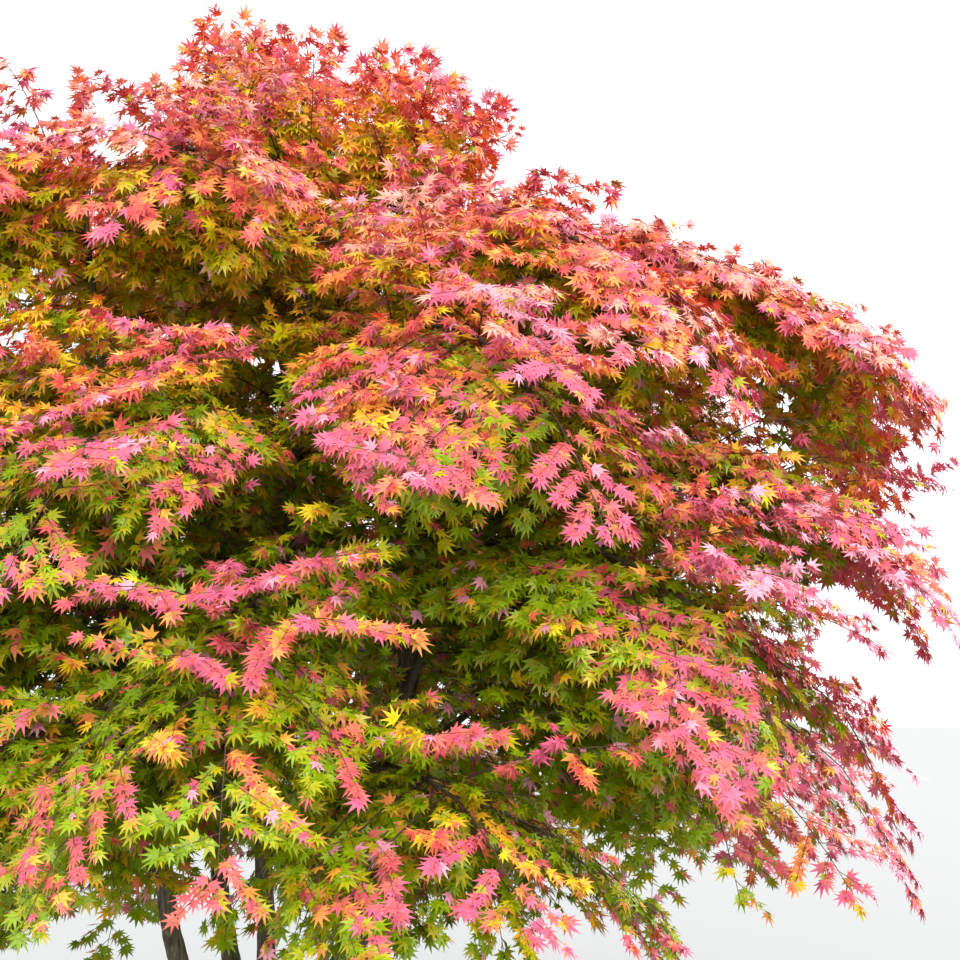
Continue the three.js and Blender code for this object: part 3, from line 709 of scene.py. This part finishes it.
def shoots_of(name, mass, number):
    """Shoots of a mass: where each leaves, how its spray faces and hangs, its size and its layer."""
    shoots = []
    run = length_of(mass["line"])
    pairs = PLUME_PAIRS if mass["upright"] else round(run / PAIR_STEP)

    def add(point, leaving, face, length, size, layer):
        key = number * SHOOTS_MOST + len(shoots)
        leaving = unit(leaving)
        if layer == "top":
            leaving[2] = max(leaving[2], STEEPEST)
        shoots.append(dict(key=key, point=point, leaving=unit(leaving), face=unit(face), layer=layer,
                           length=length * (1 + spread(key, 3, SIZE_SCATTER)),
                           size=size * (1 + spread(key, 4, SIZE_SCATTER)),
                           hang=HANG_SHARES[layer] * mass["hang"], sag=TWIG_SAGS[mass["tier"]]))

    def side_pairs(count, span, fork, slope, share_of_width, size, layer):
        for i in range(2 * count):
            share = span * (i // 2 + 0.5) / count + PAIR_OFFSET * (i % 2)
            point, heading = place_on(mass["line"], share)
            face = across(mass["face"], heading)
            aside = np.cross(face, heading) * (1 if i % 2 else -1)
            if mass["upright"]:
                aside = turned(aside, heading, PLUME_TURN * (i // 2 + 0.5))
            angle = math.radians(fork + spread(number * SHOOTS_MOST + i, 1, FORK_SCATTER))
            leaving = heading * math.cos(angle) + aside * math.sin(angle) + face * slope
            length = mass["width"](share) * share_of_width - SPRAY_SHARE * SPRAY_LENGTH * size
            add(point, leaving, face + aside * SIDE_TILT, length, size, layer)

    def short_ones(count, start, slope, length, size, layer):
        for i in range(count):
            point, heading = place_on(mass["line"], (i + start) / count)
            face = across(mass["face"], heading)
            turn = SHORT_TURN * (1 if i % 2 else -1) + spread(number * SHOOTS_MOST + i, 2, FORK_SCATTER)
            leaving = turned(heading, face, turn) + face * slope
            add(point, leaving, face - heading * min(slope, 0), length, size * mass["spray"], layer)

    side_pairs(pairs, 1.0, FORK_ANGLE, SIDE_SLOPE, 1.0, mass["spray"], "top")
    short_ones(round(run / RISING_STEP), RISING_START, *RISING_WHERE.get(name, RISING), RISING_SPRAY,
               "top")
    point, heading = place_on(mass["line"], 1.0)
    add(point, heading, across(mass["face"], heading), SHORTEST_TWIG, mass["spray"], "top")
    if not mass["upright"]:
        short_ones(HANGING_SHOOTS, HANGING_START, HANGING_SLOPE, HANGING_LENGTH, HANGING_SPRAY, "under")
        side_pairs(round(run / UNDER_STEPS[mass["tier"]]), UNDER_SPAN, UNDER_FORK,
                   UNDER_SLOPES[mass["tier"]], UNDER_SHARE, UNDER_SPRAY * mass["spray"], "under")
    limb = boughs[name][0] if name in boughs else stems.get(name.removeprefix("upper_"), stems["leader"])
    start = INNER_START if name in boughs else (1 + INNER_START) / 2
    for i in range(INNER_SHOOTS):
        point, heading = place_on(limb, start + (1 - start) * (i + 0.5) / INNER_SHOOTS)
        aside = round_limb(heading, i, number, 8)
        add(point, heading * INNER_RISE + aside * INNER_ASIDE, UP + aside * INNER_TILT, INNER_LENGTH,
            UNDER_SPRAY * mass["spray"], "inner")
    return shoots


def stem_shoots_of(order, name):
    """Shoots straight on a stem, each with the masses whose space it fills, the fullest first."""
    found = []
    line = stems[name]
    lowest = np.interp(STEM_SHOOTS_START, line[:, 2], np.linspace(0, 1, len(line)))
    for i in range(STEM_SHOOTS):
        point, heading = place_on(line, lowest + (1 - lowest) * (i + 0.5) / STEM_SHOOTS)
        aside = round_limb(heading, i, order, 9)
        leaving = unit(heading * STEM_SHOOT_RISE + aside)
        face = unit(UP + aside * INNER_TILT)
        length = STEM_SHOOT_LENGTH * (1 + spread(order * SHOOTS_MOST + i, 9, STEM_SHOOT_SCATTER))
        middle = point + leaving * (length + SPRAY_LENGTH / 2)
        half = unit(np.cross(face, leaving)) * SPRAY_WIDTH / 2
        spots = (middle, point + leaving * length, middle + leaving * SPRAY_LENGTH / 2, middle + half,
                 middle - half)
        owners = list(dict.fromkeys(int(space_owners[space_tree.find(spot)[1]]) for spot in spots))
        found.append((owners, dict(key=(len(masses) + order) * SHOOTS_MOST + i, point=point, face=face,
                                   leaving=leaving, layer="stem", length=length, size=UNDER_SPRAY,
                                   hang=STEM_HANG, sag=STEM_SAG)))
    return found


def shoot_line(point, leaving, face, length, size, hang, sag, key, **_):
    """A shoot's line through its bare twig and on along the middle of its spray."""
    reach = max(SHORTEST_TWIG, length)
    end = point + leaving * reach - UP * sag * reach
    middle = point + leaving * reach / 2
    t = np.linspace(0, 1, TWIG_POINTS)[:, None]
    twig = (1 - t) ** 2 * point + 2 * (1 - t) * t * middle + t ** 2 * end
    heading = unit(end - middle)
    side = unit(np.cross(face, heading))
    heading = turned(heading, side, hang + spread(key, 10, HANG_SCATTER))
    normal = np.cross(heading, side)
    run = t[1:] * SPRAY_LENGTH * size
    spray = end + heading * run - normal * SPRAY_DROOP * run ** 2 / (SPRAY_LENGTH * size)
    return evenly(np.concatenate([twig, spray]), SHOOT_POINTS), reach


def half_width(run, reach, size):
    """How far the fine twigs reach to the side at a distance along a shoot."""
    if run < reach:
        return SPRAY_WIDTH / 2 * size * (FOOT_WIDTH + (1 - FOOT_WIDTH) * run / reach)
    share = (run - reach) / (SPRAY_LENGTH * size)
    return SPRAY_WIDTH / 2 * size * min(1 + SPRAY_BULGE * share, 1 + SPRAY_END_WIDTH - share)


stem_shoots = [found for order, name in enumerate(stems) for found in stem_shoots_of(order, name)]
branch_lines = []
shoot_lines = {}
fine_twigs = {}
for number, (name, mass) in enumerate(masses.items()):
    radii = BOUGH_TIP_RADIUS + (BRANCH_TIP_RADIUS - BOUGH_TIP_RADIUS) * np.linspace(0, 1, BRANCH_POINTS)
    branch_lines.append((evenly(mass["line"], BRANCH_POINTS), radii))
    lines, found = [], []
    whole = [(shoot, True) for shoot in shoots_of(name, mass, number)]
    parts = [(shoot, owners[0] == number) for owners, shoot in stem_shoots if number in owners]
    for shoot, bears_wood in whole + parts:
        face, size, layer = shoot["face"], shoot["size"], shoot["layer"]
        line, reach = shoot_line(**shoot)
        inside = in_box(line)
        if layer != "stem":
            held = in_space(number, line)
            held[:int(np.argmax(held))] = True
            inside &= held
        last = SHOOT_POINTS if inside.all() else int(np.argmin(inside))
        if last < FEWEST_POINTS:
            continue
        line = line[:last]
        total = length_of(line)
        thick = SHOOT_RADIUS * (SHOOT_THICKNESS[0] + SHOOT_THICKNESS[1] * total)
        if bears_wood:
            lines.append((line, thick + (SHOOT_TIP_RADIUS - thick) * np.linspace(0, 1, last)))
        count = max(FEWEST_TWIGS, int(total / TWIG_STEPS[mass["tier"]]))
        for i in range(count):
            key = shoot["key"] * SHOOTS_MOST + i
            share = (i + TWIG_START) / count
            place, heading = place_on(line, share)
            side = unit(np.cross(face, heading)) * (1 if i % 2 else -1)
            angle = math.radians(TWIG_FORK + spread(key, 5, TWIG_FORK_SCATTER))
            run = half_width(share * total, reach, size) * (1 + spread(key, 6, TWIG_LENGTH_SCATTER))
            way = unit(heading * math.cos(angle) + side * math.sin(angle) + UP * spread(key, 7, TWIG_RISE))
            found.append((place, way, face, run, layer))
        found.append((line[-1], unit(line[-1] - line[-2]), face, END_TWIG, layer))
    shoot_lines[name] = lines
    fine_twigs[name] = found

branches = limb_body("branches", branch_lines, BRANCH_SIDES, young_bark)
branches.data.shade_smooth()
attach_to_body(branches, "root")
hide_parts(*("foliage_" + name for name in masses))

twig_bark = plain_finish("twig_bark", linear(84, 58, 42), 0.6)

# Leaves
# Leaves in opposite pairs along the fine twigs, seven-lobed on thin stalks where they are seen
# best and five-lobed deeper in. Sun turns them coral, pink and amber, and shade keeps them green.
LEAF_LENGTH = 0.040  # of the blade, from the stalk to the tip of the middle lobe
LEAF_SCATTER = 0.24
# Distance between pairs of leaves along a twig
LEAF_STEPS = {"plume": 0.023, "upper": 0.024, "middle": 0.026, "belt": 0.027, "skirt": 0.031}
INNER_GROWTH = 0.22  # share by which the leaves deepest in the crown are larger
OUTWARD_TILT = 0.6  # how far the leaves face away from the trunk
ASIDE_TILT = 0.8  # and away from their mass's own branch
ASIDE_REACH = 0.30  # distance from it at which that is so in full
FACING_NOISE = 0.5
STALK = 0.35  # its length as a share of the blade's
STALK_WIDTH = 0.03
STALK_RISE = 0.04
STALK_INSET = 0.05
STALK_SPREAD = (0.5, 1.2)  # how far a stalk turns aside from its twig
STALK_NOISE = 0.28
BLADE_OUTWARD = 0.3  # how far the blades point away from the trunk
BLADE_HANG = 0.9  # and down, at most
PAIR_START = 0.8
FINE_LOBES = ((-112, 0.44), (-70, 0.72), (-34, 0.93), (0, 1.0), (34, 0.93), (70, 0.72), (112, 0.44))
PLAIN_LOBES = ((-82, 0.62), (-40, 0.92), (0, 1.0), (40, 0.92), (82, 0.62))
FINE_WIDTH = 0.17
PLAIN_WIDTH = 0.21
RIPE_WITHIN = 60  # lobes at less than this angle turn colour first
KEEL_AT = 0.34  # share of its length where a folded lobe is widest
KEEL_WIDTH = 0.78
KEEL_DEPTH = 0.06
# Curl and twist of each form, the fine ones with a folded middle lobe and a stalk
FINE_FORMS = ((0.16, 0.05), (0.30, 0.08), (0.06, 0.10), (0.44, 0.04))
PLAIN_FORMS = ((0.14, 0.05), (0.32, 0.07), (0.02, 0.09))
MOST_LEAVES = 158000  # those that are best seen from outside stay
MOST_FINE = 44000  # and the best seen of them get the finer forms

rng = np.random.default_rng(SEED)


def leaf_mesh(curl, twist, lobes, width, fine):
    """One leaf along +X, its lobes curled down and each turned a little on its rib."""
    corners, faces, first = [], [], []
    for number, (angle, length) in enumerate(lobes):
        way = outward(angle)
        side = np.cross(UP, way)
        lift = UP * twist * (1 if number % 2 else -1)
        tip = way * length - UP * curl * length ** 2
        base = len(corners)
        if fine and angle == 0:
            run = KEEL_AT * length
            middle = way * run - UP * (curl * run ** 2 + KEEL_DEPTH)
            corners += [UP * 0, tip] + [middle + (side * KEEL_WIDTH + lift) * width * s for s in (-1, 1)]
            faces += [(base, base + 2, base + 1), (base, base + 1, base + 3)]
        else:
            corners += [-(side + lift) * width, (side + lift) * width, tip]
            faces.append((base, base + 2, base + 1))
        first += [abs(angle) < RIPE_WITHIN] * (len(faces) - len(first))
    if fine:
        base = len(corners)
        corners += [(-STALK, STALK_WIDTH / 2, STALK_RISE), (-STALK, -STALK_WIDTH / 2, STALK_RISE),
                    (STALK_INSET, 0, 0)]
        faces.append((base, base + 1, base + 2))
        first.append(True)
    mesh = bpy.data.meshes.new("leaf")
    mesh.from_pydata(corners, [], faces)
    add_attribute(mesh, "first", "INT", first, "FACE")
    return mesh


leaf_forms = bpy.data.collections.new("leaf_forms")
for number, form in enumerate(FINE_FORMS + PLAIN_FORMS):
    fine = number < len(FINE_FORMS)
    lobes, width = (FINE_LOBES, FINE_WIDTH) if fine else (PLAIN_LOBES, PLAIN_WIDTH)
    model = bpy.data.objects.new(f"leaf_form_{number}", leaf_mesh(*form, lobes, width, fine))
    leaf_forms.objects.link(model)

# Every leaf of every mass, before any is coloured
leaves = {}
for number, (name, found) in enumerate(fine_twigs.items()):
    rows, ends = [], []
    for spray, (place, way, face, run, _) in enumerate(found):
        tip = place + way * run - UP * TWIG_HANG * run
        ends.append(tip)
        side = unit(np.cross(face, way))
        pairs = max(1, round(run / LEAF_STEPS[masses[name]["tier"]]))
        set_on = [((pair + PAIR_START) / pairs, sign) for pair in range(pairs) for sign in (-1, 1)]
        rows += [(place + (tip - place) * station, way, side * sign, spray, station)
                 for station, sign in set_on + [(1.0, 0)]]
    roots, ways, sides, sprays, stations = (np.array(values) for values in zip(*rows))
    count = len(roots)
    away = unit(roots * (1, 1, 0) + 1e-6)
    stalk = unit(ways + sides * rng.uniform(*STALK_SPREAD, (count, 1))
                 + rng.normal(0, STALK_NOISE, (count, 3)))
    along = unit(stalk + away * BLADE_OUTWARD - UP * rng.uniform(0, BLADE_HANG, (count, 1)))
    samples = space_samples[name]
    nearest = np.linalg.norm(roots[:, None] - samples, axis=2).argmin(axis=1)
    aside = (roots - samples[nearest]) * (1, 1, 0)
    aside /= np.maximum(ASIDE_REACH, np.linalg.norm(aside, axis=1, keepdims=True))
    facing = UP + away * OUTWARD_TILT + aside * ASIDE_TILT + rng.normal(0, FACING_NOISE, (count, 3))
    facing = unit(facing - along * (facing * along).sum(axis=1, keepdims=True))
    length = LEAF_LENGTH * (1 + rng.uniform(-LEAF_SCATTER, LEAF_SCATTER, count))
    neck = roots + along * (STALK * length)[:, None]
    tips = neck + along * length[:, None]
    fits = in_space(number, neck) & off_limbs(neck) & off_limbs(tips) & in_box(tips)
    last_leaf = np.zeros(len(found))
    np.maximum.at(last_leaf, sprays[fits], stations[fits])
    leaves[name] = dict(neck=neck[fits], along=along[fits], facing=facing[fits], length=length[fits],
                        spray=sprays[fits], ends=np.array(ends), last_leaf=last_leaf)

# How many leaves stand in the way of each, towards the sky and towards any side
CELL = 0.10
SKY = ((0, 0, 1), (0, 0, 1), (0.64, 0, 0.77), (-0.64, 0, 0.77), (0, 0.64, 0.77), (0, -0.64, 0.77))
SKY_STEPS = 9
FIRST_STEP = 0.6  # in cells, from a leaf to the first place looked at
SCREENING = 9  # leaves in the way that leave a third of the light
VIEWS = 30
LOWEST_VIEW = -0.55  # sine of its elevation
GOLDEN_TURN = 137.5
UNEVENNESS = (0.6, 1.0)  # with which the hidden leaves are thinned
everything = np.concatenate([made["neck"] for made in leaves.values()])
low = everything.min(axis=0) - CELL
shape = np.ceil((everything.max(axis=0) + CELL - low) / CELL).astype(int)
crowd = np.zeros(shape)
np.add.at(crowd, tuple(((everything - low) / CELL).astype(int).T), 1.0)


def leaves_in_way(points, direction, steps):
    depth = np.zeros(len(points))
    for step in range(steps):
        spot = ((points + np.array(direction) * CELL * (step + FIRST_STEP) - low) / CELL).astype(int)
        inside = ((spot >= 0) & (spot < shape)).all(axis=1)
        depth[inside] += crowd[tuple(spot[inside].T)]
    return depth


def openness(points):
    """Brightness of the sky that a place sees, from 0 to 1."""
    light = sum(np.exp(-leaves_in_way(points, direction, SKY_STEPS) / SCREENING) for direction in SKY)
    return np.sqrt(light / len(SKY))


hidden = np.full(len(everything), 1e9)
for view in range(VIEWS):
    rise = LOWEST_VIEW + (1 - LOWEST_VIEW) * (view + 0.5) / VIEWS
    direction = outward(GOLDEN_TURN * view) * math.sqrt(1 - rise ** 2) + UP * rise
    hidden = np.minimum(hidden, leaves_in_way(everything, direction, max(shape)))
hidden *= rng.uniform(*UNEVENNESS, len(hidden))
hidden_rank = np.argsort(np.argsort(hidden, kind="stable"), kind="stable")

# Tints of shaded leaves are made lighter and those of open leaves darker: painted light, standing in for
# light that shines through the leaves and evens out their brightness.
TINTS = {
    "deep_green": (114, 140, 0), "green": (134, 158, 0), "olive": (158, 160, 0),
    "gold_green": (172, 158, 8), "bronze": (190, 122, 50), "dusky_salmon": (206, 104, 88),
    "coral_pink": (214, 90, 94), "pink": (208, 92, 120), "pink_highlight": (226, 148, 164),
    "lime": (184, 178, 0), "lemon": (224, 198, 24), "gold": (242, 186, 40), "amber": (246, 168, 60),
    "orange": (242, 142, 74), "salmon": (232, 112, 84), "red": (216, 80, 76),
    "salmon_highlight": (230, 152, 130),
}
# Tints from unripe to ripe, each with the ripeness up to which it reaches. Ripeness grows with how open a
# leaf is to the sky, and the shade ramp gives the least open leaves the lighter green before the deep
# green: painted light in the shade.
SHADE_RAMP = ((0.20, "green"), (0.30, "deep_green"), (0.40, "green"), (0.46, "olive"),
              (0.50, "gold_green"), (0.54, "bronze"), (0.63, "dusky_salmon"), (0.78, "coral_pink"),
              (1.00, "pink"), (math.inf, "pink_highlight"))
# The sun ramp's tints are lighter than the shade ramp's: painted sunlight on the high sprays, besides the
# riper hues that sun gives them.
SUN_RAMP = ((0.18, "lime"), (0.35, "lemon"), (0.43, "gold"), (0.53, "amber"), (0.67, "orange"),
            (0.82, "salmon"), (0.98, "red"), (1.10, "pink"), (math.inf, "salmon_highlight"))
# The pale pink and pale salmon tints, at the ripe ends of both ramps and among the accents, are painted
# highlights: the sheen of leaves that face the light.
ACCENTS = ("orange", "amber", "gold_green", "pink_highlight", "coral_pink")
ACCENT_SHARE = 0.12  # of all leaves, which differ from those round them
TURNING_SHARE = 0.4  # of all leaves, whose middle lobes are riper than the others
RIPER = {"deep_green": "olive", "green": "gold_green", "olive": "bronze", "gold_green": "bronze",
         "bronze": "coral_pink", "lime": "gold", "lemon": "amber", "gold": "orange",
         "dusky_salmon": "pink", "amber": "salmon", "orange": "red", "salmon": "red",
         "coral_pink": "pink", "red": "orange"}
LAYER_RIPENESS = {"top": 0.09, "under": -0.11, "inner": -0.12, "stem": -0.10}
TIER_RIPENESS = {"plume": -0.20, "upper": 0.01, "middle": 0.03, "belt": 0.02, "skirt": -0.01}
SUNNY_SIDE = 10
SUNNY_RIPENESS = 0.14  # for each metre towards it from the middle of the crown
SUNNY_FADE = (3.3, 1.2)  # height at which that ends and depth over which it does
HIGH_RIPENESS = 0.12  # for each metre above it
CROWN_MIDDLE = at(SUNNY_SIDE, 0.3, 2.2)
SPRAY_LIGHT = 0.60
LEAF_LIGHT = 0.42
SPRAY_NOISE = 0.10
LEAF_NOISE = 0.09
LEAF_ROUGHNESS = 0.42
LEAF_SHINE = 0.35
# Height from which sprays may be sunlit, depth over which they all become so, and their least and
# greatest share
SUNLIT_FROM = 2.05
SUNLIT_OVER = 0.9
SUNLIT_SHARES = (0.08, 0.94)
tint_names = list(TINTS)
riper = np.array([tint_names.index(RIPER.get(tint, tint)) for tint in tint_names])


def tints_of(values, sunlit):
    """Tint of each leaf from how ripe it is, on the ramp of the high boughs, whose lighter tints are
    partly painted sunlight, or of the low boughs.
    """
    picked = np.zeros(len(values), int)
    for ramp, chosen in ((SHADE_RAMP, ~sunlit), (SUN_RAMP, sunlit)):
        limits = np.array([limit for limit, _ in ramp])
        numbers = np.array([tint_names.index(tint) for _, tint in ramp])
        picked[chosen] = numbers[np.searchsorted(limits, values[chosen])]
    accents = np.array([tint_names.index(tint) for tint in ACCENTS])
    differs = rng.random(len(values)) < ACCENT_SHARE
    picked[differs] = rng.choice(accents, differs.sum())
    return picked


finishes = [plain_finish(f"leaf_{tint}", linear(*colour), LEAF_ROUGHNESS, LEAF_SHINE)
            for tint, colour in TINTS.items()]

# Sets a leaf on every point, turned by its attributes, and paints it by its tint
leafing, entry, leave = node_tree(
    "leaves_on_twigs", "GeometryNodeTree",
    {"Geometry": ("Geometry", None), "Leaf Forms": ("Collection", None), "Leaf Scale": ("Float", 1.0)},
    {"Geometry": "Geometry"})
forms = wired(leafing, "GeometryNodeCollectionInfo",
              {"Collection": entry.outputs["Leaf Forms"], "Separate Children": True,
               "Reset Children": True})
turning = wired(leafing, "FunctionNodeAxesToRotation",
                {"Primary Axis": attribute_of(leafing, "facing", "FLOAT_VECTOR"),
                 "Secondary Axis": attribute_of(leafing, "along", "FLOAT_VECTOR")},
                primary_axis="Z", secondary_axis="X")
sizing = combined(leafing, "MULTIPLY", attribute_of(leafing, "length", "FLOAT"),
                  entry.outputs["Leaf Scale"])
setting = wired(leafing, "GeometryNodeInstanceOnPoints",
                {"Points": entry.outputs["Geometry"], "Instance": forms.outputs["Instances"],
                 "Pick Instance": True, "Instance Index": attribute_of(leafing, "form", "INT"),
                 "Rotation": turning.outputs["Rotation"], "Scale": sizing})
realize = wired(leafing, "GeometryNodeRealizeInstances", {"Geometry": setting.outputs["Instances"]})
change = combined(leafing, "MULTIPLY", attribute_of(leafing, "first", "INT"),
                  attribute_of(leafing, "change", "INT"))
tint_value = combined(leafing, "ADD", attribute_of(leafing, "tint", "INT"), change)
flow = realize.outputs["Geometry"]
for number, finish in enumerate(finishes):
    compare = wired(leafing, "FunctionNodeCompare", {2: tint_value, 3: number}, data_type="INT",
                    operation="EQUAL")
    paint = wired(leafing, "GeometryNodeSetMaterial",
                  {"Geometry": flow, "Selection": compare.outputs["Result"], "Material": finish})
    flow = paint.outputs["Geometry"]
leafing.links.new(flow, leave.inputs["Geometry"])

spray_light = openness(np.concatenate([made["ends"] for made in leaves.values()]))
leaf_light = openness(everything)
first_spray = first_leaf = 0
for number, (name, made) in enumerate(leaves.items()):
    sprays, count = len(made["ends"]), len(made["neck"])
    layers = np.array([LAYER_RIPENESS[layer] for *_, layer in fine_twigs[name]])
    apart = made["ends"] - CROWN_MIDDLE
    sunny = apart @ outward(SUNNY_SIDE) * SUNNY_RIPENESS
    sunny *= np.clip((SUNNY_FADE[0] - made["ends"][:, 2]) / SUNNY_FADE[1], 0, 1)
    sunny += apart[:, 2] * HIGH_RIPENESS
    ripe = (spray_light[first_spray:first_spray + sprays] * SPRAY_LIGHT + layers + sunny
            + TIER_RIPENESS[masses[name]["tier"]] + rng.normal(0, SPRAY_NOISE, sprays))
    high = (made["ends"][:, 2] - SUNLIT_FROM) / SUNLIT_OVER
    sunlit = rng.random(sprays) < np.clip(high, *SUNLIT_SHARES)
    ranks = hidden_rank[first_leaf:first_leaf + count]
    values = (ripe[made["spray"]] + leaf_light[first_leaf:first_leaf + count] * LEAF_LIGHT
              + rng.normal(0, LEAF_NOISE, count))
    form = np.where(ranks < MOST_FINE, rng.integers(0, len(FINE_FORMS), count),
                    rng.integers(len(FINE_FORMS), len(FINE_FORMS + PLAIN_FORMS), count))
    first_spray += sprays
    first_leaf += count
    stays = ranks < MOST_LEAVES
    made["length"] = made["length"] * (1 + INNER_GROWTH * ranks / len(everything))
    for key in ("neck", "along", "facing", "length", "spray"):
        made[key] = made[key][stays]
    form, values = form[stays], values[stays]
    mesh = bpy.data.meshes.new("points")
    mesh.from_pydata(made["neck"].tolist(), [], [])
    tint = tints_of(values, sunlit[made["spray"]])
    change = np.where(rng.random(len(tint)) < TURNING_SHARE, riper[tint] - tint, 0)
    fields = (("along", "FLOAT_VECTOR", made["along"]), ("facing", "FLOAT_VECTOR", made["facing"]),
              ("length", "FLOAT", made["length"]), ("form", "INT", form), ("tint", "INT", tint),
              ("change", "INT", change))
    for field in fields:
        add_attribute(mesh, *field)
    piece = grown(mesh, leafing, f"leaves_{name}", {"Leaf Forms": leaf_forms, "Leaf Scale": 1.0})
    for label in [label for label, _, _ in fields] + ["first"]:
        if label in piece.data.attributes:
            piece.data.attributes.remove(piece.data.attributes[label])
    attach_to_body(piece, "root")
    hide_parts(f"foliage_{name}")

    bearing_leaves = set(made["spray"].tolist())
    fine_lines = []
    for spray, (place, *_, layer) in enumerate(fine_twigs[name]):
        end = made["ends"][spray]
        if spray in bearing_leaves and (layer != "stem" or in_space(number, [(place + end) / 2])[0]):
            fine_lines.append((np.array([place, place + (end - place) * made["last_leaf"][spray]]),
                               np.array([TWIG_RADIUS, TWIG_TIP_RADIUS])))
    twigs = limb_body(f"twigs_{name}", shoot_lines[name] + fine_lines, TWIG_SIDES, twig_bark, closed=False)
    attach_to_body(twigs, "root")
    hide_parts(f"foliage_{name}")

# Floor, light and camera
# A pale floor in a plain studio, and a camera where the picture was taken from.
FLOOR_REACH = 150
floor_corners = [(x * FLOOR_REACH, y * FLOOR_REACH, 0) for x, y in ((-1, -1), (1, -1), (1, 1), (-1, 1))]
floor_mesh = bpy.data.meshes.new("floor")
floor_mesh.from_pydata(floor_corners, [], [(0, 1, 2, 3)])
floor_mesh.materials.append(plain_finish("floor_finish", (0.32, 0.32, 0.31, 1), 0.9))
placed("floor", floor_mesh)

world = bpy.data.worlds.new("studio")
world.use_nodes = True
sky = world.node_tree.nodes["Background"]
sky.inputs["Color"].default_value = (0.86, 0.89, 0.93, 1)
sky.inputs["Strength"].default_value = 1.6
bpy.context.scene.world = world
bpy.context.scene.view_settings.view_transform = "Standard"

for name, turn, strength, softness in (("key", (50, 12, 32), 2.0, 20), ("fill", (60, 0, -12), 1.8, 40),
                                       ("back", (-62, 0, -34), 2.2, 30)):
    light = bpy.data.lights.new(name, "SUN")
    light.energy = strength
    light.angle = math.radians(softness)
    placed(name, light).rotation_euler = [math.radians(value) for value in turn]

CAMERA_PLACE = Vector((0.71, -6.5, 1.6))
CAMERA_AIM = Vector((0.71, 0, 2.38))
camera_data = bpy.data.cameras.new("camera")
camera_data.sensor_width = 36
camera_data.lens = 71
camera = placed("camera", camera_data)
camera.location = CAMERA_PLACE
camera.rotation_euler = (CAMERA_AIM - CAMERA_PLACE).to_track_quat("-Z", "Y").to_euler()
bpy.context.scene.camera = camera
